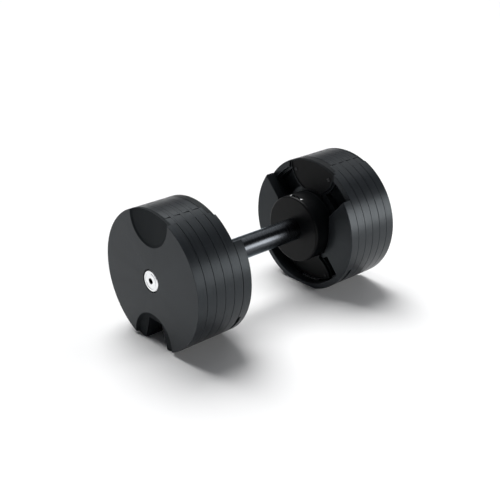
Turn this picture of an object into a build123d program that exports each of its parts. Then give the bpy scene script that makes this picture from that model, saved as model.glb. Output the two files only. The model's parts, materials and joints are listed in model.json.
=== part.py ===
"""Adjustable dumbbell whose twist grip selects the weight.

The grip's axis is the X axis and the origin is the middle of the grip, with Z up.
The right-hand end (+X) is modelled, and each of its pieces is mirrored for the left.
Turning the grip turns a two-handed drive screw, which draws both selector bars in
along X and lets go of one weight plate at each end for every 60 degrees.
"""
from build123d import *
import os
from math import cos, pi, radians, sin

# ---------------------------------------------------------------- driving dimensions
plate_radius = 85.0
plate_pitch = 12.9
plate_gap = 0.3
plate_count = 5
lobe_face_x = 81.6
flat_drop = 0.955 * plate_radius
rim_chamfer = 0.3

bar_hole_radius = 14.0
slot_top_drop = 0.61 * plate_radius
slot_top_half = 0.14 * plate_radius
slot_foot_half = 0.235 * plate_radius

hook_centre = 0.90 * plate_radius
hook_radius = 0.405 * plate_radius
hook_lip_radius = 0.435 * plate_radius
hook_lip_half = 0.28 * plate_radius
hook_neck_height = 3.9
hook_height = 7.8
hook_clearance = 0.3
carrier_neck_height = 3.2
carrier_hook_height = 6.4
slit_length = 0.1 * plate_radius
slit_mouth = 1.7
slit_end = 0.5
slit_depth = 2.4
upper_recess_depth = 1.6
lower_recess_depth = 4.2
recess_slope = 2.0

lobe_channel = 0.53 * plate_radius
strip_inner_radius = 0.91 * plate_radius
web_face_x = 99.4
fan_centre = 0.92 * plate_radius
fan_radius = 0.455 * plate_radius
fan_face_x = 96.1
fan_back_x = 99.1
fan_border = 2.4
fan_chamfer = 0.9
edge_tolerance = 0.01
fan_neck_half = 17.0
lower_fan_reach = strip_inner_radius - 0.5
fan_recess = 2.0
cover_face_x = fan_face_x + 1.0
fan_screw_y = 0.336 * plate_radius
fan_screw_z = 0.775 * plate_radius

hub_radius = 43.0
hub_face_x = 64.0
hub_wall = 3.0
hub_back_x = 91.5
hub_edge = 2.4
carrier_flange_back = 94.2

grip_radius = 14.2
grip_bore = 13.0
grip_half_length = 86.0
running_gap = 0.05

bar_radius = 12.7
bar_bore = 10.0
bar_inner_x = 68.0
bar_tube_end = 156.0
bar_cap_plug = 8.0
bar_travel = 65.0
grip_turn = 300.0
follower_x = 72.0
follower_radius = 2.2
key_width = 4.0
key_depth = 1.4

screw_radius = 9.0
screw_half_length = 79.0
groove_radius = 2.6
groove_centre = 8.5
groove_run_out = 3.0
screw_collar_half = 2.0
screw_end_chamfer = 0.8

settings = 6

# allowances: how far cuts run past a face, and the small gaps between fitted pieces
overshoot = 1.0
head_gap = 0.1
shank_gap = 0.02
coil_gap = 0.05
cone_tip = 0.01

# ---------------------------------------------------------------- derived stations
outer_face_x = lobe_face_x + (plate_count + 1) * plate_pitch
lead = bar_travel * 360 / grip_turn


def plate_inner_x(number):
    """X of the inner face of a numbered weight plate."""
    return lobe_face_x + number * plate_pitch + plate_gap


def plate_outer_x(number):
    """X of the outer face of a numbered weight plate."""
    return lobe_face_x + (number + 1) * plate_pitch


def section(x):
    """Sketch plane across the dumbbell: local x is Y, local y is Z, normal is +X."""
    return Plane.YZ.offset(x)


def write_pair(piece, name):
    """Write the right-hand piece and its mirror image on the left."""
    piece.part.label = f"{name}_right"
    export_step(piece.part, f"parts/{name}_right.step")
    with BuildPart() as twin:
        mirror(piece.part, about=Plane.YZ)
    twin.part.label = f"{name}_left"
    export_step(twin.part, f"parts/{name}_left.step")


def write_single(piece, name):
    """Write a piece that the dumbbell has once."""
    piece.part.label = name
    export_step(piece.part, f"parts/{name}.step")


# ---------------------------------------------------------------- shared profiles
with BuildSketch() as plate_outline:
    Circle(plate_radius)
    with Locations((0, -flat_drop)):
        Rectangle(2 * plate_radius, plate_radius, align=(Align.CENTER, Align.MAX), mode=Mode.SUBTRACT)

slot_flare = (slot_foot_half - slot_top_half) / (flat_drop - slot_top_drop)
slot_end_drop = plate_radius + overshoot
slot_end_half = slot_top_half + slot_flare * (slot_end_drop - slot_top_drop)
with BuildSketch() as slot_outline:
    with BuildLine():
        Polyline(
            (-slot_top_half, -slot_top_drop),
            (slot_top_half, -slot_top_drop),
            (slot_end_half, -slot_end_drop),
            (-slot_end_half, -slot_end_drop),
            close=True,
        )
    make_face()

# everything above the lobes' upper edges, where the handle lifts out
beyond = 1.2 * plate_radius
upper_inner = (lobe_channel, 0.30 * plate_radius)
upper_outer = (1.10 * plate_radius, 0.933 * plate_radius)
with BuildSketch() as upper_opening:
    with BuildLine():
        Polyline(
            (-upper_inner[0], upper_inner[1]),
            upper_inner,
            upper_outer,
            (upper_outer[0], beyond),
            (-upper_outer[0], beyond),
            (-upper_outer[0], upper_outer[1]),
            close=True,
        )
    make_face()

# the wedge between the lobes' lower edges
lower_inner = (0.44 * plate_radius, -0.253 * plate_radius)
lower_outer = (0.92 * plate_radius, -0.799 * plate_radius)
with BuildSketch() as lower_wedge:
    with BuildLine():
        Polyline(
            (-lower_inner[0], lower_inner[1]),
            lower_inner,
            lower_outer,
            (lower_outer[0], -beyond),
            (-lower_outer[0], -beyond),
            (-lower_outer[0], lower_outer[1]),
            close=True,
        )
    make_face()

# the channel that the hub lifts through
with BuildSketch() as hub_channel:
    Circle(lobe_channel)
    with Locations((0, lobe_channel / 2)):
        Rectangle(2 * lobe_channel, lobe_channel)

with BuildSketch() as lobe_outline:
    Circle(plate_radius)
    add(upper_opening.sketch, mode=Mode.SUBTRACT)
    add(lower_wedge.sketch, mode=Mode.SUBTRACT)
    add(hub_channel.sketch, mode=Mode.SUBTRACT)


def fans_outline(inset):
    """Top and bottom fans of the carrier, drawn in from their edges by an inset."""
    with BuildSketch() as fans:
        with Locations((0, fan_centre)):
            Circle(fan_radius - inset)
        Circle(plate_radius - inset, mode=Mode.INTERSECT)
        with BuildSketch(mode=Mode.PRIVATE) as lower:
            with Locations((0, -fan_centre)):
                Circle(fan_radius - inset)
            Circle(lower_fan_reach - inset, mode=Mode.INTERSECT)
        add(lower.sketch)
    return fans.sketch


def hook_solid(face_x, direction, side, neck_height, height):
    """Stepped half-moon hook on a face; side is +1 at the top, -1 at the bottom."""
    with BuildPart() as hook:
        with BuildSketch(section(face_x)):
            add(plate_outline.sketch)
            with Locations((0, side * hook_centre)):
                Circle(hook_radius, mode=Mode.INTERSECT)
        extrude(amount=direction * neck_height)
        with BuildSketch(section(face_x + direction * neck_height)):
            add(plate_outline.sketch)
            with Locations((0, side * hook_centre)):
                Circle(hook_lip_radius, mode=Mode.INTERSECT)
            Rectangle(2 * hook_lip_half, 3 * plate_radius, mode=Mode.INTERSECT)
        extrude(amount=direction * (height - neck_height))
    return hook.part


def hook_space(face_x, direction, side, neck_height, height):
    """Space that takes a stepped hook with clearance all round."""
    lip_start = neck_height - hook_clearance
    with BuildPart() as space:
        with BuildSketch(section(face_x)):
            with Locations((0, side * hook_centre)):
                Circle(hook_radius + hook_clearance)
        extrude(amount=direction * neck_height)
        with BuildSketch(section(face_x + direction * lip_start)):
            with Locations((0, side * hook_centre)):
                Circle(hook_lip_radius + hook_clearance)
            Rectangle(2 * (hook_lip_half + hook_clearance), 3 * plate_radius, mode=Mode.INTERSECT)
        extrude(amount=direction * (height + hook_clearance - lip_start))
    return space.part


def hook_slits(seam_x):
    """Tapered lead-in slits beside the upper hook, from a seam outwards along the rim."""
    foot = (plate_radius**2 - hook_lip_half**2) ** 0.5 - slit_depth
    with BuildPart() as slits:
        with BuildSketch(Plane.XY.offset(foot)):
            for side in (-1, 1):
                middle = side * hook_lip_half
                with BuildLine():
                    Polyline(
                        (seam_x - plate_gap, middle - slit_mouth / 2),
                        (seam_x - plate_gap, middle + slit_mouth / 2),
                        (seam_x + slit_length, middle + slit_end / 2),
                        (seam_x + slit_length, middle - slit_end / 2),
                        close=True,
                    )
                make_face()
        extrude(amount=2 * slit_depth)
    return slits.part


def face_recess(outer_x, side, depth):
    """Half-moon recess with a sloped border; side is +1 at the top, -1 at the bottom."""
    with BuildPart() as recess:
        with BuildSketch(section(outer_x)):
            with Locations((0, side * hook_centre)):
                Circle(hook_radius)
        with BuildSketch(section(outer_x - depth)):
            with Locations((0, side * hook_centre)):
                Circle(hook_radius - recess_slope)
        loft()
    return recess.part


def plate_blank(inner_x, outer_x):
    """Round plate with its rest flat and chamfered rims."""
    with BuildPart() as blank:
        with BuildSketch(section(inner_x)):
            add(plate_outline.sketch)
        extrude(amount=outer_x - inner_x)
        chamfer(faces().filter_by(Axis.X).edges(), rim_chamfer)
    return blank.part


# ---------------------------------------------------------------- lobe plate
lobe_back_x = lobe_face_x + plate_pitch - plate_gap
notch_depth = 4.2
lobe_chamfer = 0.9
notch_inner_radius = 0.93 * plate_radius
notch_angles = (118, 137)
lobe_screw_y = 0.76 * plate_radius
lobe_screw_z = 0.15 * plate_radius
lobe_screw_radius = 2.5
lobe_screw_head_radius = 5.0
lobe_screw_tip_x = 86.0
lobe_screw_end_gap = 1.0
lobe_socket_radius = 2.0
lobe_socket_depth = 2.0
lobe_screw_spots = [(y, z) for y in (-lobe_screw_y, lobe_screw_y) for z in (-lobe_screw_z, lobe_screw_z)]

with BuildPart() as lobe_plate:
    with BuildSketch(section(lobe_face_x)):
        add(plate_outline.sketch)
        add(upper_opening.sketch, mode=Mode.SUBTRACT)
        add(hub_channel.sketch, mode=Mode.SUBTRACT)
        with BuildSketch(mode=Mode.SUBTRACT):
            add(lower_wedge.sketch)
            Circle(strip_inner_radius, mode=Mode.INTERSECT)
    extrude(amount=lobe_back_x - lobe_face_x)
    chamfer(faces().sort_by(Axis.X)[0].edges(), lobe_chamfer)
    # notch at the back of each lobe, at the rim
    for sign in (-1, 1):
        with BuildSketch(section(lobe_back_x - notch_depth)):
            reach = 1.3 * plate_radius
            corners = [(sign * reach * sin(radians(a)), reach * cos(radians(a))) for a in notch_angles]
            with BuildLine():
                Polyline((0, 0), corners[0], corners[1], close=True)
            make_face()
            Circle(notch_inner_radius, mode=Mode.SUBTRACT)
        extrude(amount=notch_depth, mode=Mode.SUBTRACT)
    with BuildSketch(section(lobe_screw_tip_x)):
        with Locations(*lobe_screw_spots):
            Circle(lobe_screw_radius)
    extrude(amount=lobe_back_x - lobe_screw_tip_x, mode=Mode.SUBTRACT)

# ---------------------------------------------------------------- weight plates
pocket_outer_radius = 0.87 * plate_radius
pocket_hub_radius = 0.57 * plate_radius
pocket_wall = 2.0
plate_1_inner = plate_inner_x(1)
plate_1_outer = plate_outer_x(1)
plate_1_blank = plate_blank(plate_1_inner, plate_1_outer)
plate_1_hook = hook_solid(plate_1_outer, 1, 1, hook_neck_height, hook_height)
carrier_hook_space = hook_space(web_face_x, 1, 1, carrier_neck_height, carrier_hook_height)
plate_1_groove = hook_space(plate_1_outer, -1, -1, hook_neck_height, hook_height)
plate_1_slits = hook_slits(plate_1_outer)

with BuildPart() as plate_1:
    add(plate_1_blank)
    with BuildSketch(section(plate_1_inner)):
        Circle(strip_inner_radius)
        add(lobe_outline.sketch, mode=Mode.SUBTRACT)
        with Locations((0, plate_radius / 2)):
            Rectangle(2 * (fan_radius + hook_clearance), 1.2 * plate_radius)
    extrude(amount=web_face_x - plate_1_inner, mode=Mode.SUBTRACT)
    add(plate_1_hook)
    # windows through the web, beside the fans
    with BuildSketch(section(web_face_x)):
        Circle(pocket_outer_radius)
        add(lobe_outline.sketch, mode=Mode.SUBTRACT)
        Circle(pocket_hub_radius, mode=Mode.SUBTRACT)
        with Locations((0, fan_centre), (0, -fan_centre)):
            Circle(fan_radius + pocket_wall, mode=Mode.SUBTRACT)
    extrude(amount=plate_1_outer - web_face_x, mode=Mode.SUBTRACT)
    with BuildSketch(section(web_face_x)):
        Circle(bar_hole_radius)
    extrude(amount=plate_1_outer - web_face_x, mode=Mode.SUBTRACT)
    add(carrier_hook_space, mode=Mode.SUBTRACT)
    add(plate_1_groove, mode=Mode.SUBTRACT)
    add(plate_1_slits, mode=Mode.SUBTRACT)
    with BuildSketch(section(plate_1_inner)):
        add(slot_outline.sketch)
    extrude(amount=plate_pitch, mode=Mode.SUBTRACT)
    with BuildSketch(section(plate_1_inner)):
        with Locations(*lobe_screw_spots):
            Circle(lobe_screw_radius)
    extrude(amount=plate_pitch, mode=Mode.SUBTRACT)
    with Locations(*[(plate_1_outer, y, z) for y, z in lobe_screw_spots]):
        Cone(
            cone_tip, lobe_screw_head_radius + head_gap, lobe_screw_head_radius + head_gap,
            rotation=(0, 90, 0), align=(Align.CENTER, Align.CENTER, Align.MAX), mode=Mode.SUBTRACT,
        )

weight_plates = {1: plate_1}
for number in range(2, plate_count + 1):
    inner_x = plate_inner_x(number)
    outer_x = plate_outer_x(number)
    blank = plate_blank(inner_x, outer_x)
    lower_hook = hook_solid(inner_x, -1, -1, hook_neck_height + plate_gap, hook_height + plate_gap)
    upper_hook = hook_solid(outer_x, 1, 1, hook_neck_height, hook_height)
    upper_groove = hook_space(inner_x, 1, 1, hook_neck_height - plate_gap, hook_height - plate_gap)
    lower_groove = hook_space(outer_x, -1, -1, hook_neck_height, hook_height)
    inner_slits = hook_slits(inner_x - plate_gap)
    outer_slits = hook_slits(outer_x)
    upper_recess = face_recess(outer_x, 1, upper_recess_depth)
    lower_recess = face_recess(outer_x, -1, lower_recess_depth)
    with BuildPart() as weight_plate:
        add(blank)
        add(lower_hook)
        if number < plate_count:
            add(upper_hook)
            add(lower_groove, mode=Mode.SUBTRACT)
            add(outer_slits, mode=Mode.SUBTRACT)
        else:
            add(upper_recess, mode=Mode.SUBTRACT)
            add(lower_recess, mode=Mode.SUBTRACT)
        add(upper_groove, mode=Mode.SUBTRACT)
        add(inner_slits, mode=Mode.SUBTRACT)
        with BuildSketch(section(inner_x)):
            Circle(bar_hole_radius)
        extrude(amount=outer_x - inner_x, mode=Mode.SUBTRACT)
        with BuildSketch(section(inner_x - plate_pitch)):
            add(slot_outline.sketch)
        extrude(amount=2 * plate_pitch, mode=Mode.SUBTRACT)
    weight_plates[number] = weight_plate

with BuildPart() as lobe_screws:
    with Locations(*[(plate_1_outer, y, z) for y, z in lobe_screw_spots]):
        Cone(
            cone_tip, lobe_screw_head_radius, lobe_screw_head_radius,
            rotation=(0, 90, 0), align=(Align.CENTER, Align.CENTER, Align.MAX),
        )
    with BuildSketch(section(lobe_screw_tip_x + lobe_screw_end_gap)):
        with Locations(*lobe_screw_spots):
            Circle(lobe_screw_radius - shank_gap)
    extrude(amount=plate_1_outer - lobe_screw_tip_x - lobe_screw_end_gap - lobe_screw_radius)
    with BuildSketch(section(plate_1_outer)):
        with Locations(*lobe_screw_spots):
            RegularPolygon(radius=lobe_socket_radius, side_count=6)
    extrude(amount=-lobe_socket_depth, mode=Mode.SUBTRACT)

# ---------------------------------------------------------------- carrier plate
carrier_boss_radius = 20.0
carrier_boss_face_x = 87.6
bush_outer_radius = 16.5
hub_screw_ring = 33.0
hub_screw_count = 4
hub_screw_start = 45
hub_screw_radius = 1.6
hub_screw_head_radius = 3.0
hub_screw_head_height = 1.8
hub_screw_sink = 0.2
hub_screw_end_gap = 1.0
hub_socket_radius = 1.4
hub_socket_depth = 1.2
detent_height = 22.0
detent_bore = 1.95
detent_boss_radius = 4.0
detent_face_x = 85.1
detent_bore_end = 93.0
lock_width = 8.0
lock_front_x = 88.0
lock_back_x = 91.2
lock_slide_gap = 0.3
lock_guide_wall = 2.0
lock_guide_gap = 0.5
lock_guide_overlap = 2.0
lock_roof = 1.0

carrier_hook = hook_solid(fan_back_x, 1, 1, carrier_neck_height, carrier_hook_height)

with BuildPart() as carrier_plate:
    with BuildSketch(section(hub_back_x)):
        Circle(hub_radius)
    extrude(amount=carrier_flange_back - hub_back_x)
    with BuildSketch(section(carrier_flange_back)):
        Circle(fan_radius)
    extrude(amount=fan_back_x - carrier_flange_back)
    with BuildSketch(section(fan_face_x)):
        add(fans_outline(0))
        Rectangle(2 * fan_neck_half, 1.2 * fan_centre)
        Circle(fan_radius)
    extrude(amount=fan_back_x - fan_face_x)
    add(carrier_hook)
    fan_rim = (
        faces().filter_by(GeomType.PLANE).filter_by(Axis.X)
        .filter_by(lambda face: abs(face.center().X - fan_face_x) < edge_tolerance)
        .edges().filter_by(GeomType.CIRCLE)
        .filter_by(lambda edge: edge.radius > hub_radius or abs(edge.radius - fan_radius) < edge_tolerance)
        .filter_by(lambda edge: abs(edge.center().Z) > hub_radius)
    )
    chamfer(fan_rim, fan_chamfer)
    with BuildSketch(section(fan_face_x)):
        add(fans_outline(fan_border))
        Circle(hub_radius + fan_border, mode=Mode.SUBTRACT)
    extrude(amount=fan_recess, mode=Mode.SUBTRACT)
    with BuildSketch(section(carrier_boss_face_x)):
        Circle(carrier_boss_radius)
    extrude(amount=hub_back_x - carrier_boss_face_x)
    with BuildSketch(section(detent_face_x)):
        with Locations((0, detent_height)):
            Circle(detent_boss_radius)
    extrude(amount=hub_back_x - detent_face_x)
    with BuildSketch(section(detent_face_x)):
        with Locations((0, detent_height)):
            Circle(detent_bore)
    extrude(amount=detent_bore_end - detent_face_x, mode=Mode.SUBTRACT)
    with BuildSketch(section(carrier_boss_face_x)):
        Circle(bush_outer_radius)
    extrude(amount=fan_back_x - carrier_boss_face_x, mode=Mode.SUBTRACT)
    # guide channel of the lock pin, open below and in front
    guide_depth = hub_radius - hub_wall - lock_guide_gap
    with BuildSketch(section(lock_front_x)):
        with Locations((0, -guide_depth)):
            Rectangle(
                lock_width + 2 * (lock_slide_gap + lock_guide_wall),
                guide_depth - carrier_boss_radius + lock_guide_overlap,
                align=(Align.CENTER, Align.MIN),
            )
    extrude(amount=hub_back_x - lock_front_x)
    with BuildSketch(section(lock_front_x - lock_guide_gap)):
        with Locations((0, -plate_radius)):
            Rectangle(
                lock_width + 2 * lock_slide_gap, plate_radius - carrier_boss_radius - lock_roof,
                align=(Align.CENTER, Align.MIN),
            )
    extrude(amount=lock_back_x + lock_slide_gap - lock_front_x + lock_guide_gap, mode=Mode.SUBTRACT)
    with BuildSketch(section(hub_back_x)):
        with PolarLocations(hub_screw_ring, hub_screw_count, start_angle=hub_screw_start):
            Circle(hub_screw_radius)
    extrude(amount=fan_back_x - hub_back_x, mode=Mode.SUBTRACT)
    with BuildSketch(section(fan_back_x - hub_screw_head_height - hub_screw_sink)):
        with PolarLocations(hub_screw_ring, hub_screw_count, start_angle=hub_screw_start):
            Circle(hub_screw_head_radius + head_gap)
    extrude(amount=hub_screw_head_height + hub_screw_sink, mode=Mode.SUBTRACT)

cover_gap = 0.15
fan_screw_radius = 1.25
fan_screw_head_radius = 2.3
fan_screw_head_height = 0.9
fan_screw_head_chamfer = 0.35
fan_screw_socket_radius = 1.1
fan_screw_socket_depth = 0.6
fan_screw_spots = [(y, z) for y in (-fan_screw_y, fan_screw_y) for z in (-fan_screw_z, fan_screw_z)]
with BuildPart() as fan_covers:
    with BuildSketch(section(cover_face_x)):
        add(fans_outline(fan_border + cover_gap))
        Circle(hub_radius + fan_border + cover_gap, mode=Mode.SUBTRACT)
        with Locations(*fan_screw_spots):
            Circle(fan_screw_radius, mode=Mode.SUBTRACT)
    extrude(amount=fan_face_x + fan_recess - cover_face_x)

with BuildPart() as fan_screws:
    with BuildSketch(section(cover_face_x - fan_screw_head_height)):
        with Locations(*fan_screw_spots):
            Circle(fan_screw_head_radius)
    extrude(amount=fan_screw_head_height)
    chamfer(edges().filter_by(GeomType.CIRCLE).group_by(Axis.X)[0], fan_screw_head_chamfer)
    with BuildSketch(section(cover_face_x)):
        with Locations(*fan_screw_spots):
            Circle(fan_screw_radius)
    extrude(amount=fan_face_x + fan_recess - cover_face_x)
    with BuildSketch(section(cover_face_x - fan_screw_head_height)):
        with Locations(*fan_screw_spots):
            RegularPolygon(radius=fan_screw_socket_radius, side_count=6)
    extrude(amount=fan_screw_socket_depth, mode=Mode.SUBTRACT)

# ---------------------------------------------------------------- hub housing
bush_seat_radius = 17.0
bush_boss_radius = 21.0
bush_front_x = 64.4
bush_back_x = 74.0
window_start_x = 66.4
window_end_x = 72.0
window_half_width = 6.5
window_corner = 1.2
window_gap = 0.05
window_sink = 0.4
window_thickness = 2.0
sleeve_hole_gap = 0.3
post_radius = 4.0
post_start_x = 82.0
post_floor = 1.0
lock_slot_height = 10.0

with BuildPart() as hub_housing:
    with BuildSketch(section(hub_face_x)):
        Circle(hub_radius)
    extrude(amount=hub_back_x - hub_face_x)
    fillet(edges().group_by(Axis.X)[0], hub_edge)
    with BuildSketch(section(hub_face_x + hub_wall)):
        Circle(hub_radius - hub_wall)
    extrude(amount=hub_back_x - hub_face_x - hub_wall, mode=Mode.SUBTRACT)
    with BuildSketch(section(hub_face_x + hub_wall)):
        Circle(bush_boss_radius)
    extrude(amount=bush_back_x - hub_face_x - hub_wall)
    with BuildSketch(section(hub_face_x)):
        Circle(grip_radius + sleeve_hole_gap)
    extrude(amount=bush_back_x - hub_face_x, mode=Mode.SUBTRACT)
    with BuildSketch(section(bush_front_x)):
        Circle(bush_seat_radius)
    extrude(amount=bush_back_x - bush_front_x, mode=Mode.SUBTRACT)
    with BuildSketch(section(post_start_x)):
        with PolarLocations(hub_screw_ring, hub_screw_count, start_angle=hub_screw_start):
            Circle(post_radius)
        with PolarLocations(hub_screw_ring + post_radius, hub_screw_count, start_angle=hub_screw_start):
            Rectangle(2 * post_radius, post_radius)
        Circle(hub_radius - overshoot, mode=Mode.INTERSECT)
    extrude(amount=hub_back_x - post_start_x)
    with BuildSketch(section(post_start_x + post_floor)):
        with PolarLocations(hub_screw_ring, hub_screw_count, start_angle=hub_screw_start):
            Circle(hub_screw_radius)
    extrude(amount=hub_back_x - post_start_x - post_floor, mode=Mode.SUBTRACT)
    window_length = window_end_x - window_start_x
    with BuildSketch(Plane.XY.offset(hub_radius - hub_wall - 2 * overshoot)):
        with Locations(((window_start_x + window_end_x) / 2, 0)):
            RectangleRounded(window_length, 2 * window_half_width, window_corner)
    extrude(amount=hub_wall + 4 * overshoot, mode=Mode.SUBTRACT)
    with BuildSketch(section(lock_front_x - lock_slide_gap)):
        with Locations((0, -hub_radius)):
            Rectangle(lock_width + 2 * lock_slide_gap, lock_slot_height)
    extrude(amount=hub_back_x - lock_front_x + lock_slide_gap, mode=Mode.SUBTRACT)

with BuildPart() as display_window:
    with BuildSketch(Plane.XY.offset(hub_radius - hub_wall - 2 * overshoot)):
        with Locations(((window_start_x + window_end_x) / 2, 0)):
            RectangleRounded(
                window_length - 2 * window_gap,
                2 * (window_half_width - window_gap),
                window_corner - window_gap,
            )
    extrude(amount=hub_wall + 4 * overshoot)
    with BuildSketch(section(window_start_x - overshoot)):
        Circle(hub_radius - window_sink)
        Circle(hub_radius - window_sink - window_thickness, mode=Mode.SUBTRACT)
    extrude(amount=window_length + 2 * overshoot, mode=Mode.INTERSECT)

hub_screw_top_x = fan_back_x - hub_screw_sink
with BuildPart() as hub_screws:
    with BuildSketch(section(post_start_x + post_floor + hub_screw_end_gap)):
        with PolarLocations(hub_screw_ring, hub_screw_count, start_angle=hub_screw_start):
            Circle(hub_screw_radius)
    extrude(amount=hub_screw_top_x - post_start_x - post_floor - hub_screw_end_gap)
    with BuildSketch(section(hub_screw_top_x - hub_screw_head_height)):
        with PolarLocations(hub_screw_ring, hub_screw_count, start_angle=hub_screw_start):
            Circle(hub_screw_head_radius)
    extrude(amount=hub_screw_head_height)
    with BuildSketch(section(hub_screw_top_x)):
        with PolarLocations(hub_screw_ring, hub_screw_count, start_angle=hub_screw_start):
            RegularPolygon(radius=hub_socket_radius, side_count=6)
    extrude(amount=-hub_socket_depth, mode=Mode.SUBTRACT)

with BuildPart() as grip_bush:
    with BuildSketch(section(bush_front_x)):
        Circle(bush_seat_radius)
        Circle(grip_radius + running_gap, mode=Mode.SUBTRACT)
    extrude(amount=bush_back_x - bush_front_x)

# ---------------------------------------------------------------- grip and its parts
with BuildPart() as grip_sleeve:
    with BuildSketch(section(-grip_half_length)):
        Circle(grip_radius)
        Circle(grip_bore, mode=Mode.SUBTRACT)
    extrude(amount=2 * grip_half_length)

groove_length = bar_travel + 2 * groove_run_out
groove_start = follower_x - bar_travel - groove_run_out
lead_in = 360 * (bar_travel + groove_run_out) / lead
with BuildLine() as base_groove:
    Helix(
        pitch=lead, height=groove_length, radius=groove_centre,
        center=(groove_start, 0, 0), direction=(1, 0, 0),
    )
# turned so that each groove crosses the Y axis at the followers' rest station
groove_paths = [base_groove.line.rotate(Axis.X, angle - 90 - lead_in) for angle in (0, 180)]

with BuildPart() as drive_screw:
    with BuildSketch(section(-screw_half_length)):
        Circle(screw_radius)
    extrude(amount=2 * screw_half_length)
    chamfer(edges().filter_by(GeomType.CIRCLE), screw_end_chamfer)
    with BuildSketch(section(-screw_collar_half)):
        Circle(grip_bore)
    extrude(amount=2 * screw_collar_half)
    for path in groove_paths:
        with BuildSketch(Plane(origin=path @ 0, z_dir=path % 0)):
            Circle(groove_radius)
        sweep(path=path, is_frenet=True, mode=Mode.SUBTRACT)
        with Locations(path @ 0, path @ 1):
            Sphere(groove_radius, mode=Mode.SUBTRACT)
    split(bisect_by=Plane.YZ, keep=Keep.TOP)
    mirror(about=Plane.YZ)

index_radius = 27.0
index_front_x = 80.5
index_back_x = 84.5
track_depth = 1.0
track_half_width = 1.9
dimple_radius = 2.2
dimple_lift = 1.0
notch_width = 6.4
notch_floor_radius = 23.9
ball_radius = 1.8

with BuildPart() as index_disc:
    with BuildSketch(section(index_front_x)):
        Circle(index_radius)
        Circle(grip_radius, mode=Mode.SUBTRACT)
    extrude(amount=index_back_x - index_front_x)
    with BuildSketch(section(index_back_x - track_depth)):
        Circle(detent_height + track_half_width)
        Circle(detent_height - track_half_width, mode=Mode.SUBTRACT)
    extrude(amount=track_depth, mode=Mode.SUBTRACT)
    ring_spots = [2 * pi * k / settings + pi / 2 for k in range(settings)]
    dimple_x = index_back_x - track_depth + dimple_lift
    with Locations(*[(dimple_x, detent_height * cos(a), detent_height * sin(a)) for a in ring_spots]):
        Sphere(dimple_radius, mode=Mode.SUBTRACT)
    with BuildSketch(section(index_front_x)):
        with PolarLocations(index_radius, settings, start_angle=-90):
            Rectangle(2 * (index_radius - notch_floor_radius), notch_width)
    extrude(amount=index_back_x - index_front_x, mode=Mode.SUBTRACT)

dial_outer_radius = 39.3
dial_inner_radius = 37.0
dial_front_x = 67.8
dial_web_x = 77.6
dial_back_x = 80.4
dial_hole_radius = 6.5
dial_hole_ring = (dial_inner_radius + grip_radius) / 2 + 1
dial_hub_wall = 3.0
dial_hub_length = 2.4

with BuildPart() as number_dial:
    with BuildSketch(section(dial_front_x)):
        Circle(dial_outer_radius)
        Circle(dial_inner_radius, mode=Mode.SUBTRACT)
    extrude(amount=dial_back_x - dial_front_x)
    with BuildSketch(section(dial_web_x)):
        Circle(dial_outer_radius)
        Circle(grip_radius, mode=Mode.SUBTRACT)
        with PolarLocations(dial_hole_ring, settings, start_angle=180 / settings):
            Circle(dial_hole_radius, mode=Mode.SUBTRACT)
    extrude(amount=dial_back_x - dial_web_x)
    with BuildSketch(section(dial_web_x - dial_hub_length)):
        Circle(grip_radius + dial_hub_wall)
        Circle(grip_radius, mode=Mode.SUBTRACT)
    extrude(amount=dial_hub_length)

ring_wall = 2.6
ring_thickness = 1.2
with BuildPart() as retaining_ring:
    with BuildSketch(section(index_back_x + running_gap)):
        Circle(grip_radius + ring_wall)
        Circle(grip_radius, mode=Mode.SUBTRACT)
    extrude(amount=ring_thickness)

# ---------------------------------------------------------------- selector bar
bar_end_chamfer = 0.6
pin_sink = 0.4
with BuildPart() as selector_bar:
    with BuildSketch(section(bar_inner_x)):
        Circle(bar_radius)
        Circle(bar_bore, mode=Mode.SUBTRACT)
    extrude(amount=bar_tube_end - bar_inner_x)
    chamfer(edges().filter_by(GeomType.CIRCLE).group_by(Axis.X)[0], bar_end_chamfer)
    with BuildSketch(section(bar_inner_x)):
        with Locations((0, -bar_radius)):
            Rectangle(key_width, 2 * key_depth)
    extrude(amount=bar_tube_end - bar_inner_x, mode=Mode.SUBTRACT)
    with BuildSketch(Plane.XZ.offset(-bar_radius - overshoot)):
        with Locations((follower_x, 0)):
            Circle(follower_radius)
    extrude(amount=2 * (bar_radius + overshoot), mode=Mode.SUBTRACT)

with BuildPart() as follower_pins:
    for sign in (-1, 1):
        with BuildSketch(Plane.XZ.offset(sign * groove_centre)):
            with Locations((follower_x, 0)):
                Circle(follower_radius)
        extrude(amount=sign * (bar_radius - pin_sink - groove_centre))
        with Locations((follower_x, -sign * groove_centre, 0)):
            Sphere(follower_radius)

cap_groove_radius = 9.4
cap_groove_half = 0.6
cap_groove_depth = 0.5
cap_chamfer = 0.7
socket_radius = 3.6
socket_depth = 4.5
with BuildPart() as bar_end_cap:
    with BuildSketch(section(bar_tube_end)):
        Circle(bar_radius)
    extrude(amount=outer_face_x - bar_tube_end)
    chamfer(edges().filter_by(GeomType.CIRCLE).group_by(Axis.X)[-1], cap_chamfer)
    with BuildSketch(section(bar_tube_end - bar_cap_plug)):
        Circle(bar_bore)
    extrude(amount=bar_cap_plug)
    with BuildSketch(section(outer_face_x)):
        Circle(cap_groove_radius + cap_groove_half)
        Circle(cap_groove_radius - cap_groove_half, mode=Mode.SUBTRACT)
    extrude(amount=-cap_groove_depth, mode=Mode.SUBTRACT)
    with BuildSketch(section(outer_face_x)):
        RegularPolygon(radius=socket_radius, side_count=6)
    extrude(amount=-socket_depth, mode=Mode.SUBTRACT)

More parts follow.
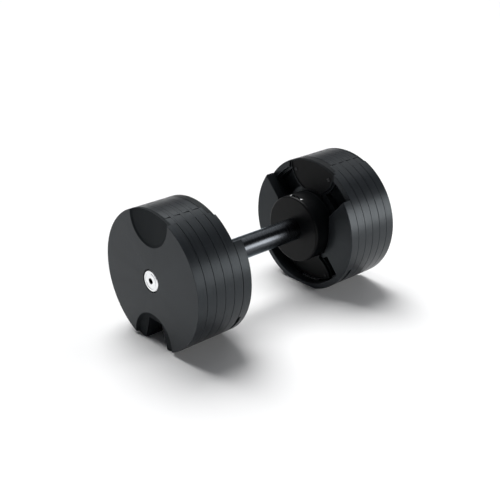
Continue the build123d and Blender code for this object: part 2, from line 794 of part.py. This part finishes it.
key_gap = 0.12
key_length = 3.0
key_start_x = carrier_boss_face_x + 0.2
key_foot = bush_outer_radius - 1.0
key_tip = bar_radius - key_depth + 0.2
with BuildPart() as bar_bush:
    with BuildSketch(section(carrier_boss_face_x)):
        Circle(bush_outer_radius)
        Circle(bar_radius + running_gap, mode=Mode.SUBTRACT)
    extrude(amount=fan_back_x - carrier_boss_face_x)
    with BuildSketch(section(key_start_x)):
        with Locations((0, -key_foot)):
            Rectangle(key_width - 2 * key_gap, key_foot, align=(Align.CENTER, Align.MIN))
    extrude(amount=key_length, mode=Mode.SUBTRACT)

with BuildPart() as bar_key:
    with BuildSketch(section(key_start_x)):
        with Locations((0, -key_foot)):
            Rectangle(key_width - 2 * key_gap, key_foot - key_tip, align=(Align.CENTER, Align.MIN))
    extrude(amount=key_length)

# ---------------------------------------------------------------- detent and lock
wire_radius = 0.25
detent_coil_radius = 1.4
detent_turns = 5
lock_coil_radius = 1.2
lock_turns = 4
ball_lift = 0.1
detent_ball_x = index_back_x - track_depth + ball_lift + ball_radius

with BuildPart() as detent_ball:
    with Locations((detent_ball_x, 0, detent_height)):
        Sphere(ball_radius)

with BuildPart() as detent_spring:
    spring_start = detent_ball_x + ball_radius + wire_radius + coil_gap
    spring_end = detent_bore_end - wire_radius - coil_gap
    spring_length = spring_end - spring_start
    with BuildLine() as coil:
        Helix(
            pitch=spring_length / detent_turns, height=spring_length, radius=detent_coil_radius,
            center=(spring_start, 0, detent_height), direction=(1, 0, 0),
        )
    with BuildSketch(Plane(origin=coil.line @ 0, z_dir=coil.line % 0)):
        Circle(wire_radius)
    sweep(path=coil.line, is_frenet=True)

lock_tooth_top = -22.9
lock_tooth_foot = -31.0
lock_tooth_width = notch_width - 2 * lock_slide_gap
lock_foot_fillet = 2.0
lock_body_top = -28.0
lock_foot = -hub_radius - 3.0
lock_tooth_x = index_back_x + 0.4
lock_tooth_back_x = carrier_boss_face_x - lock_slide_gap
with BuildPart() as lock_pin:
    with BuildSketch(section(lock_front_x)):
        with Locations((0, lock_foot)):
            Rectangle(lock_width, lock_body_top - lock_foot, align=(Align.CENTER, Align.MIN))
    extrude(amount=lock_back_x - lock_front_x)
    fillet(edges().filter_by(Axis.X).group_by(Axis.Z)[0], lock_foot_fillet)
    with BuildSketch(section(lock_tooth_x)):
        with Locations((0, lock_tooth_foot)):
            Rectangle(lock_tooth_width, lock_tooth_top - lock_tooth_foot, align=(Align.CENTER, Align.MIN))
    extrude(amount=lock_tooth_back_x - lock_tooth_x)
    with BuildSketch(section(lock_tooth_back_x)):
        with Locations((0, lock_tooth_foot)):
            Rectangle(lock_tooth_width, lock_body_top - lock_tooth_foot, align=(Align.CENTER, Align.MIN))
    extrude(amount=lock_front_x - lock_tooth_back_x)

with BuildPart() as lock_spring:
    lock_spring_x = (lock_front_x + lock_back_x) / 2
    spring_foot = lock_body_top + wire_radius + shank_gap
    spring_head = -carrier_boss_radius - lock_roof - wire_radius - shank_gap
    lock_spring_length = spring_head - spring_foot
    with BuildLine() as lock_coil:
        Helix(
            pitch=lock_spring_length / lock_turns, height=lock_spring_length, radius=lock_coil_radius,
            center=(lock_spring_x, 0, spring_foot),
        )
    with BuildSketch(Plane(origin=lock_coil.line @ 0, z_dir=lock_coil.line % 0)):
        Circle(wire_radius)
    sweep(path=lock_coil.line, is_frenet=True)

# ---------------------------------------------------------------- write every piece
os.makedirs("parts", exist_ok=True)
pairs = {
    "lobe_plate": lobe_plate,
    "lobe_screws": lobe_screws,
    "carrier_plate": carrier_plate,
    "fan_covers": fan_covers,
    "fan_screws": fan_screws,
    "hub_housing": hub_housing,
    "hub_screws": hub_screws,
    "display_window": display_window,
    "grip_bush": grip_bush,
    "index_disc": index_disc,
    "number_dial": number_dial,
    "retaining_ring": retaining_ring,
    "selector_bar": selector_bar,
    "follower_pins": follower_pins,
    "bar_end_cap": bar_end_cap,
    "bar_bush": bar_bush,
    "bar_key": bar_key,
    "detent_ball": detent_ball,
    "detent_spring": detent_spring,
    "lock_pin": lock_pin,
    "lock_spring": lock_spring,
}
for name, piece in pairs.items():
    write_pair(piece, name)
for number, weight_plate in weight_plates.items():
    write_pair(weight_plate, f"plate_{number}")
write_single(grip_sleeve, "grip_sleeve")
write_single(drive_screw, "drive_screw")
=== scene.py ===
"""Looks of the adjustable dumbbell: materials, printed marks, floor, light and camera."""

import json
import math

import bmesh
import bpy
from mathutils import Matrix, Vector


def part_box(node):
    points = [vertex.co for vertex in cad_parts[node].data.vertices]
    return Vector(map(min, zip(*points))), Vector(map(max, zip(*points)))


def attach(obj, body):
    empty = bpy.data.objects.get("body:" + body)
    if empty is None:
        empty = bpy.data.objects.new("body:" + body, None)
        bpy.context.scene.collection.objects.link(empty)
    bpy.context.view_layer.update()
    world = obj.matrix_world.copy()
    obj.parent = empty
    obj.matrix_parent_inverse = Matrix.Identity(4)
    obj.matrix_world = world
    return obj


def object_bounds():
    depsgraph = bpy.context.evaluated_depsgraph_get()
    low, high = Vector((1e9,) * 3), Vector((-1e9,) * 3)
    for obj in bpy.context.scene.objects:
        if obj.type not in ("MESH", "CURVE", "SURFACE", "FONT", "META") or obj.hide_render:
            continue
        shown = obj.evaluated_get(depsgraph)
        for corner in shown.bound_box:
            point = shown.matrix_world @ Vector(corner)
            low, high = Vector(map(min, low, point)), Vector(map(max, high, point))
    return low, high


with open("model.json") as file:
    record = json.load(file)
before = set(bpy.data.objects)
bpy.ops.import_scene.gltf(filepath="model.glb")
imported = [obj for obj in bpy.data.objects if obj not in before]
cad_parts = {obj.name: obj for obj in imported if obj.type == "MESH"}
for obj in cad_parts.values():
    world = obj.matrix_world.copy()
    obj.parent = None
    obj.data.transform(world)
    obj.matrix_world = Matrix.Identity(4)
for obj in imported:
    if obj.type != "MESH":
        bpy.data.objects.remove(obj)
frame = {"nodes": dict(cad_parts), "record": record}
cad_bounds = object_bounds()
SIDES = {"right": 1, "left": -1}

# half-moon recesses, in plate radii, and how far below the outer face their floors lie; their floors carry
# painted shade
RECESS_CENTRE, RECESS_FLOOR, RECESS_EDGE = 0.90, 0.400, 0.412
FLOOR_START, FLOOR_END = 0.0002, 0.00575
# radius of the end cap's socket, inside which painted shade is drawn near-black
CAP_SOCKET_RADIUS = 0.00365

# printed marks: totals in kilograms, the size of the figures and pointers, and the ink
SETTINGS = ("22", "18", "14", "10", "6", "2")
FIGURE_SIZE, FIGURE_MARGIN = 0.0038, 0.0023
POINTER_HALF, POINTER_LENGTH = 0.0019, 0.0024
POINTER_GAP, POINTER_FAR_GAP = 0.030, 0.085
INK_LIFT, INK_THICKNESS = 0.00002, 0.0001

# ---------------------------------------------------------------- node helpers


def new_material(name):
    """Empty node material with a Principled shader; returns (material, add, join, shader)."""
    material = bpy.data.materials.new(name)
    material.use_nodes = True
    tree = material.node_tree
    tree.nodes.clear()

    def add(kind, **settings):
        node = tree.nodes.new(kind)
        for key, value in settings.items():
            setattr(node, key, value)
        return node

    def join(source, target):
        tree.links.new(source, target)

    shader = add("ShaderNodeBsdfPrincipled")
    output = add("ShaderNodeOutputMaterial")
    join(shader.outputs[0], output.inputs[0])
    return material, add, join, shader


def polar_coordinates(add, join, along, around, outward):
    """Coordinates that run along the X axis, round it and away from it, each with its own scale."""
    place = add("ShaderNodeTexCoord")
    parts = add("ShaderNodeSeparateXYZ")
    join(place.outputs["Object"], parts.inputs[0])
    angle = add("ShaderNodeMath", operation="ARCTAN2")
    join(parts.outputs["Y"], angle.inputs[0])
    join(parts.outputs["Z"], angle.inputs[1])
    flat = add("ShaderNodeCombineXYZ")
    join(parts.outputs["Y"], flat.inputs["X"])
    join(parts.outputs["Z"], flat.inputs["Y"])
    radius = add("ShaderNodeVectorMath", operation="LENGTH")
    join(flat.outputs[0], radius.inputs[0])
    scaled = add("ShaderNodeCombineXYZ")
    for source, scale, target in (
        (parts.outputs["X"], along, "X"),
        (angle.outputs[0], around, "Y"),
        (radius.outputs["Value"], outward, "Z"),
    ):
        times = add("ShaderNodeMath", operation="MULTIPLY")
        join(source, times.inputs[0])
        times.inputs[1].default_value = scale
        join(times.outputs[0], scaled.inputs[target])
    return scaled.outputs[0]


def noise(add, join, coordinates, scale, detail=3.0, rough=0.5):
    """Noise factor at those coordinates."""
    node = add("ShaderNodeTexNoise")
    node.inputs["Scale"].default_value = scale
    node.inputs["Detail"].default_value = detail
    node.inputs["Roughness"].default_value = rough
    join(coordinates, node.inputs["Vector"])
    return node.outputs["Fac"]


def blend_colours(add, join, factor, first, second):
    """Mix of two colours, each a tuple or a socket."""
    node = add("ShaderNodeMix", data_type="RGBA")
    join(factor, node.inputs["Factor"])
    for key, colour in (("A", first), ("B", second)):
        socket = [s for s in node.inputs if s.name == key and s.type == "RGBA"][0]
        if isinstance(colour, tuple):
            socket.default_value = (*colour, 1)
        else:
            join(colour, socket)
    return [s for s in node.outputs if s.type == "RGBA"][0]


def spread(add, join, factor, low, high, start=0.3, end=0.7):
    """Number that runs from low to high as the factor goes from start to end."""
    node = add("ShaderNodeMapRange")
    join(factor, node.inputs["Value"])
    for key, value in (("From Min", start), ("From Max", end), ("To Min", low), ("To Max", high)):
        node.inputs[key].default_value = value
    return node.outputs[0]


def within(add, join, value, low, high):
    """1 below low, 0 above high, blended between."""
    return spread(add, join, value, 1.0, 0.0, low, high)


def bump(add, join, height, strength, distance, under=None):
    """Normal of fine relief, on top of another relief if one is given."""
    node = add("ShaderNodeBump")
    node.inputs["Strength"].default_value = strength
    node.inputs["Distance"].default_value = distance
    join(height, node.inputs["Height"])
    if under is not None:
        join(under, node.inputs["Normal"])
    return node.outputs[0]


# ---------------------------------------------------------------- materials


def half_moon_mask(add, join):
    """Where painted shade goes: 1 on the floors of the half-moon recesses in the two outermost faces, 0
    elsewhere.
    """
    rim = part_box("plate_5_right")[1].z
    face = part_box("plate_5_right")[1].x
    place = add("ShaderNodeTexCoord")
    mirrored = add("ShaderNodeVectorMath", operation="ABSOLUTE")
    join(place.outputs["Object"], mirrored.inputs[0])
    parts = add("ShaderNodeSeparateXYZ")
    join(mirrored.outputs[0], parts.inputs[0])
    flat = add("ShaderNodeCombineXYZ")
    join(parts.outputs["Y"], flat.inputs["X"])
    join(parts.outputs["Z"], flat.inputs["Y"])
    offset = add("ShaderNodeVectorMath", operation="DISTANCE")
    join(flat.outputs[0], offset.inputs[0])
    offset.inputs[1].default_value = (0, RECESS_CENTRE * rim, 0)
    inside = within(add, join, offset.outputs["Value"], RECESS_FLOOR * rim, RECESS_EDGE * rim)
    deep = within(add, join, parts.outputs["X"], face - FLOOR_START - 0.0001, face - FLOOR_START + 0.0001)
    inner = within(add, join, parts.outputs["X"], face - FLOOR_END - 0.00025, face - FLOOR_END + 0.00025)
    near = add("ShaderNodeMath", operation="SUBTRACT")
    join(deep, near.inputs[0])
    join(inner, near.inputs[1])
    mask = add("ShaderNodeMath", operation="MULTIPLY", use_clamp=True)
    join(near.outputs[0], mask.inputs[0])
    join(inside, mask.inputs[1])
    return mask.outputs[0]


def coated_steel(name, colour, worn, gloss=0.42, streaks=1.0, metallic=0.0, level=0.5, recess_shade=None):
    """Dark coated steel: turned streaks along the rims, fine grain, slightly worn patches and, when a recess
    colour is given, painted shade on the half-moon recess floors.
    """
    material, add, join, shader = new_material(name)
    place = add("ShaderNodeTexCoord").outputs["Object"]
    turned = polar_coordinates(add, join, 2600.0, 1.2, 0.0)
    lines = noise(add, join, turned, 1.0, 4.0, 0.65)
    broad = noise(add, join, polar_coordinates(add, join, 420.0, 0.9, 0.0), 1.0, 3.0, 0.6)
    grain = noise(add, join, place, 2600.0, 2.0, 0.6)
    patches = noise(add, join, place, 26.0, 5.0, 0.6)
    base = blend_colours(add, join, spread(add, join, patches, 0.0, 1.0), colour, worn)
    streaked = blend_colours(
        add, join, spread(add, join, lines, 0.0, 0.5 * streaks), base, tuple(1.7 * c for c in worn),
    )
    roughness = add("ShaderNodeMath", operation="ADD")
    join(spread(add, join, broad, gloss - 0.06 * streaks, gloss + 0.06 * streaks), roughness.inputs[0])
    join(spread(add, join, grain, -0.03, 0.03), roughness.inputs[1])
    if recess_shade is None:
        join(streaked, shader.inputs["Base Color"])
        join(roughness.outputs[0], shader.inputs["Roughness"])
    else:
        # painted shade: the half-moon recess floors get a darker colour and a rougher finish
        mask = half_moon_mask(add, join)
        join(blend_colours(add, join, mask, streaked, recess_shade), shader.inputs["Base Color"])
        rougher = add("ShaderNodeMath", operation="MULTIPLY_ADD")
        join(mask, rougher.inputs[0])
        rougher.inputs[1].default_value = 0.5
        join(roughness.outputs[0], rougher.inputs[2])
        join(rougher.outputs[0], shader.inputs["Roughness"])
    shader.inputs["Metallic"].default_value = metallic
    shader.inputs["Specular IOR Level"].default_value = level
    shader.inputs["Specular Tint"].default_value = (0.84, 0.94, 1.0, 1.0)
    fine = bump(add, join, grain, 0.22, 0.00006)
    join(bump(add, join, lines, 0.30 * streaks, 0.00008, fine), shader.inputs["Normal"])
    return material


def moulded_plastic(name, colour, gloss=0.5, level=0.4):
    """Moulded plastic with a fine spark-eroded grain and faint mottling."""
    material, add, join, shader = new_material(name)
    place = add("ShaderNodeTexCoord").outputs["Object"]
    grain = noise(add, join, place, 3200.0, 2.0, 0.55)
    mottle = noise(add, join, place, 60.0, 4.0, 0.6)
    lighter = tuple(1.35 * c + 0.001 for c in colour)
    tint = blend_colours(add, join, spread(add, join, mottle, 0.0, 1.0), colour, lighter)
    join(tint, shader.inputs["Base Color"])
    join(spread(add, join, mottle, gloss - 0.05, gloss + 0.06), shader.inputs["Roughness"])
    shader.inputs["Specular IOR Level"].default_value = level
    join(bump(add, join, grain, 0.25, 0.00007), shader.inputs["Normal"])
    return material


def turned_metal(name, colour, gloss=0.28, dull=0.75, socket=0.0):
    """Bare metal with lathe lines and handling marks, with painted shade, near-black, inside a socket of that
    radius.
    """
    material, add, join, shader = new_material(name)
    place = add("ShaderNodeTexCoord").outputs["Object"]
    lines = noise(add, join, polar_coordinates(add, join, 5200.0, 2.0, 5200.0), 1.0, 4.0, 0.7)
    marks = noise(add, join, place, 240.0, 5.0, 0.65)
    darker = tuple(dull * c for c in colour)
    tint = blend_colours(add, join, spread(add, join, lines, 0.0, 0.8), colour, darker)
    used = blend_colours(add, join, spread(add, join, marks, 0.0, 0.5, 0.5, 0.75), tint, darker)
    # painted shade: the inside of the socket is drawn near-black
    if socket:
        parts = add("ShaderNodeSeparateXYZ")
        join(polar_coordinates(add, join, 1.0, 1.0, 1.0), parts.inputs[0])
        dark = within(add, join, parts.outputs["Z"], socket, socket + 0.00005)
        used = blend_colours(add, join, dark, used, (0.012, 0.012, 0.013))
    join(used, shader.inputs["Base Color"])
    join(spread(add, join, marks, gloss - 0.05, gloss + 0.10), shader.inputs["Roughness"])
    shader.inputs["Metallic"].default_value = 1.0
    join(bump(add, join, lines, 0.25, 0.00005), shader.inputs["Normal"])
    return material


def smoked_window(name):
    """Smoke-tinted clear window, faintly hazed by handling."""
    material, add, join, shader = new_material(name)
    place = add("ShaderNodeTexCoord").outputs["Object"]
    haze = noise(add, join, place, 900.0, 4.0, 0.6)
    join(spread(add, join, haze, 0.03, 0.12), shader.inputs["Roughness"])
    join(
        blend_colours(add, join, haze, (0.50, 0.53, 0.56), (0.62, 0.65, 0.68)), shader.inputs["Base Color"],
    )
    shader.inputs["Transmission Weight"].default_value = 1.0
    shader.inputs["IOR"].default_value = 1.46
    return material


def printed_white(name):
    """White pad-printing ink, slightly uneven."""
    material, add, join, shader = new_material(name)
    place = add("ShaderNodeTexCoord").outputs["Object"]
    cover = noise(add, join, place, 2200.0, 3.0, 0.6)
    join(blend_colours(add, join, cover, (0.86, 0.87, 0.88), (0.97, 0.97, 0.97)), shader.inputs["Base Color"])
    join(spread(add, join, cover, 0.45, 0.65), shader.inputs["Roughness"])
    join(bump(add, join, cover, 0.2, 0.00003), shader.inputs["Normal"])
    return material


MATERIALS = {
    "plate_coating": coated_steel(
        "plate_coating", (0.0095, 0.0108, 0.0125), (0.013, 0.0147, 0.0168), gloss=0.33, level=0.26,
        # the darker colour of the half-moon recess floors is painted shade
        recess_shade=(0.0075, 0.0088, 0.010),
    ),
    "carrier_coating": coated_steel(
        "carrier_coating", (0.004, 0.0045, 0.0052), (0.006, 0.007, 0.0078),
        gloss=0.42, streaks=0.3, level=0.16,
    ),
    "cover_plastic": moulded_plastic("cover_plastic", (0.0035, 0.004, 0.0045), gloss=0.50, level=0.13),
    "hub_plastic": moulded_plastic("hub_plastic", (0.0022, 0.0025, 0.003), gloss=0.38, level=0.12),
    "window": smoked_window("window"),
    "dial_plastic": moulded_plastic("dial_plastic", (0.010, 0.010, 0.011), gloss=0.45),
    "grip_metal": coated_steel(
        "grip_metal", (0.060, 0.064, 0.070), (0.075, 0.080, 0.088), gloss=0.26, streaks=0.25, metallic=1.0,
    ),
    "bar_steel": turned_metal("bar_steel", (0.55, 0.56, 0.58)),
    "cap_aluminium": turned_metal(
        # the near-black inside the cap's socket is painted shade
        "cap_aluminium", (0.93, 0.94, 0.95), gloss=0.34, dull=0.92, socket=CAP_SOCKET_RADIUS,
    ),
    "screw_steel": turned_metal("screw_steel", (0.045, 0.046, 0.048), gloss=0.30),
    "drive_steel": turned_metal("drive_steel", (0.42, 0.43, 0.44), gloss=0.30),
    "index_steel": turned_metal("index_steel", (0.45, 0.46, 0.47), gloss=0.36),
    "bush_plastic": moulded_plastic("bush_plastic", (0.016, 0.016, 0.017), gloss=0.40),
    "spring_steel": turned_metal("spring_steel", (0.50, 0.50, 0.52), gloss=0.25),
    "ball_steel": turned_metal("ball_steel", (0.78, 0.79, 0.80), gloss=0.12),
}
INK = printed_white("printed_white")

for row in frame["record"]["subparts"]:
    mesh = frame["nodes"][row["node"]].data
    mesh.materials.clear()
    mesh.materials.append(MATERIALS[row["material_slot"]])

# ---------------------------------------------------------------- printed marks


def wrap_round_axis(shape, x, radius, angle):
    """Solid ink mark bent round the X axis onto a surface of that radius.

    shape is a flat mesh in metres, its x along the grip and its y round the axis.
    """
    result = bmesh.new()
    result.from_mesh(shape)
    bmesh.ops.subdivide_edges(result, edges=result.edges[:], cuts=1, use_grid_fill=False)
    bmesh.ops.triangulate(result, faces=result.faces[:])
    bottom = result.faces[:]
    raised = bmesh.ops.extrude_face_region(result, geom=bottom)
    for vertex in (v for v in raised["geom"] if isinstance(v, bmesh.types.BMVert)):
        vertex.co.z = INK_THICKNESS
    bmesh.ops.recalc_face_normals(result, faces=result.faces[:])
    for vertex in result.verts:
        along, around, out = vertex.co
        turn = angle + around / radius
        reach = radius + INK_LIFT + out
        vertex.co = (x + along, reach * math.sin(turn), reach * math.cos(turn))
    mesh = bpy.data.meshes.new("mark")
    result.to_mesh(mesh)
    result.free()
    return mesh


def figure_shape(text, size):
    """Flat centred mesh of a number."""
    curve = bpy.data.curves.new("figure", "FONT")
    curve.body, curve.size = text, size
    curve.align_x, curve.align_y = "CENTER", "CENTER"
    curve.resolution_u = 6
    carrier = bpy.data.objects.new("figure", curve)
    bpy.context.scene.collection.objects.link(carrier)
    bpy.context.view_layer.update()
    mesh = bpy.data.meshes.new_from_object(carrier)
    bpy.data.objects.remove(carrier)
    return mesh


def polygon_shape(points):
    """Flat mesh of one polygon, given in metres."""
    mesh = bpy.data.meshes.new("polygon")
    mesh.from_pydata([(x, y, 0) for x, y in points], [], [list(range(len(points)))])
    return mesh


def add_piece(name, meshes, body, material):
    """Join the meshes into one piece of one material that rides on a body."""
    joined = bmesh.new()
    for mesh in meshes:
        joined.from_mesh(mesh)
    data = bpy.data.meshes.new(name)
    joined.to_mesh(data)
    joined.free()
    piece = bpy.data.objects.new(name, data)
    bpy.context.scene.collection.objects.link(piece)
    data.materials.append(material)
    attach(piece, body)


for side, sign in SIDES.items():
    window_low, window_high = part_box(f"display_window_{side}")
    window_x = (window_low.x + window_high.x) / 2
    drum_low, drum_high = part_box(f"number_dial_{side}")
    drum_radius = drum_high.z
    figure_x = sign * (min(abs(drum_low.x), abs(drum_high.x)) + FIGURE_MARGIN)
    figures = [
        wrap_round_axis(figure_shape(text, FIGURE_SIZE), figure_x, drum_radius, math.tau * k / len(SETTINGS))
        for k, text in enumerate(SETTINGS)
    ]
    add_piece(f"dial_figures_{side}", figures, "grip", INK)
    # pointers beside the window, printed on the hub
    hub_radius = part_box(f"hub_housing_{side}")[1].z
    half_window = math.asin(window_high.y / hub_radius)
    before = polygon_shape([(-POINTER_HALF, 0.0), (0.0, POINTER_LENGTH), (POINTER_HALF, 0.0)])
    after = polygon_shape([(-POINTER_HALF, POINTER_LENGTH), (0.0, 0.0), (POINTER_HALF, POINTER_LENGTH)])
    marks = [
        wrap_round_axis(before, window_x, hub_radius, -half_window - POINTER_FAR_GAP),
        wrap_round_axis(after, window_x, hub_radius, half_window + POINTER_GAP),
    ]
    add_piece(f"window_pointers_{side}", marks, "frame", INK)

# ---------------------------------------------------------------- floor, light and camera
FLOOR_HALF, FLOOR_GAP = 12.0, 0.0002
floor_level = cad_bounds[0].z
floor_mesh = bpy.data.meshes.new("floor")
corners = [(-1, -1), (1, -1), (1, 1), (-1, 1)]
floor_mesh.from_pydata([(FLOOR_HALF * x, FLOOR_HALF * y, 0) for x, y in corners], [], [(0, 1, 2, 3)])
floor = bpy.data.objects.new("floor", floor_mesh)
floor.location.z = floor_level - FLOOR_GAP
bpy.context.scene.collection.objects.link(floor)
floor_material, add, join, shader = new_material("floor_paper")
place = add("ShaderNodeTexCoord").outputs["Object"]
tone = noise(add, join, place, 3.0, 3.0)
join(blend_colours(add, join, tone, (0.90, 0.90, 0.90), (0.92, 0.92, 0.92)), shader.inputs["Base Color"])
shader.inputs["Roughness"].default_value = 0.9
shader.inputs["Specular IOR Level"].default_value = 0.1
floor_mesh.materials.append(floor_material)

# surroundings: pale near the horizon, a dark gap above it, and a dim ceiling
world = bpy.data.worlds.new("studio")
bpy.context.scene.world = world
world.use_nodes = True
tree = world.node_tree
tree.nodes.clear()
direction = tree.nodes.new("ShaderNodeTexCoord")
split = tree.nodes.new("ShaderNodeSeparateXYZ")
levels = tree.nodes.new("ShaderNodeValToRGB")
sky = tree.nodes.new("ShaderNodeBackground")
surface = tree.nodes.new("ShaderNodeOutputWorld")
tree.links.new(direction.outputs["Generated"], split.inputs[0])
tree.links.new(split.outputs["Z"], levels.inputs[0])
tree.links.new(levels.outputs[0], sky.inputs["Color"])
tree.links.new(sky.outputs[0], surface.inputs[0])
steps = (
    (0.0, (0.9, 0.9, 0.9)), (0.12, (0.8, 0.8, 0.81)), (0.24, (0.02, 0.02, 0.022)),
    (0.60, (0.02, 0.02, 0.022)), (0.78, (0.06, 0.065, 0.074)), (1.0, (0.07, 0.076, 0.086)),
)
elements = levels.color_ramp.elements
elements[0].position, elements[1].position = steps[0][0], steps[-1][0]
for position, _ in steps[1:-1]:
    elements.new(position)
for element, (_, colour) in zip(elements, steps):
    element.color = (*colour, 1)
sky.inputs["Strength"].default_value = 1.0


def soft_light(name, position, target, size, power):
    """Square area light aimed at a point."""
    data = bpy.data.lights.new(name, "AREA")
    data.shape, data.size, data.energy = "SQUARE", size, power
    light = bpy.data.objects.new(name, data)
    light.location = position
    light.rotation_euler = (Vector(target) - Vector(position)).to_track_quat("-Z", "Y").to_euler()
    bpy.context.scene.collection.objects.link(light)


soft_light("strip", (0.86, -0.96, 0.21), (0.0, 0.0, 0.0), 0.55, 7.0)


def broad_light(name, direction, strength, width):
    """Distant light seen as a disc of that angle in that direction."""
    data = bpy.data.lights.new(name, "SUN")
    data.energy, data.angle = strength, math.radians(width)
    light = bpy.data.objects.new(name, data)
    light.rotation_euler = Vector(direction).to_track_quat("Z", "Y").to_euler()
    bpy.context.scene.collection.objects.link(light)


broad_light("overhead", (0.12, 0.50, 0.858), 3.6, 46)
broad_light("side", (0.60, 0.20, 0.77), 0.3, 42)

azimuth, elevation, distance = math.radians(-42.285), math.radians(23.756), 1.1807
back = Vector((
    math.sin(azimuth) * math.cos(elevation), -math.cos(azimuth) * math.cos(elevation), math.sin(elevation),
))
lens = bpy.data.cameras.new("camera")
lens.sensor_width, lens.lens = 36.0, 69.27
lens.shift_x, lens.shift_y = -0.01053, -0.0141
camera = bpy.data.objects.new("camera", lens)
camera.location = back * distance
camera.rotation_euler = back.to_track_quat("Z", "Y").to_euler()
bpy.context.scene.collection.objects.link(camera)
bpy.context.scene.camera = camera
bpy.context.scene.view_settings.view_transform = "Standard"
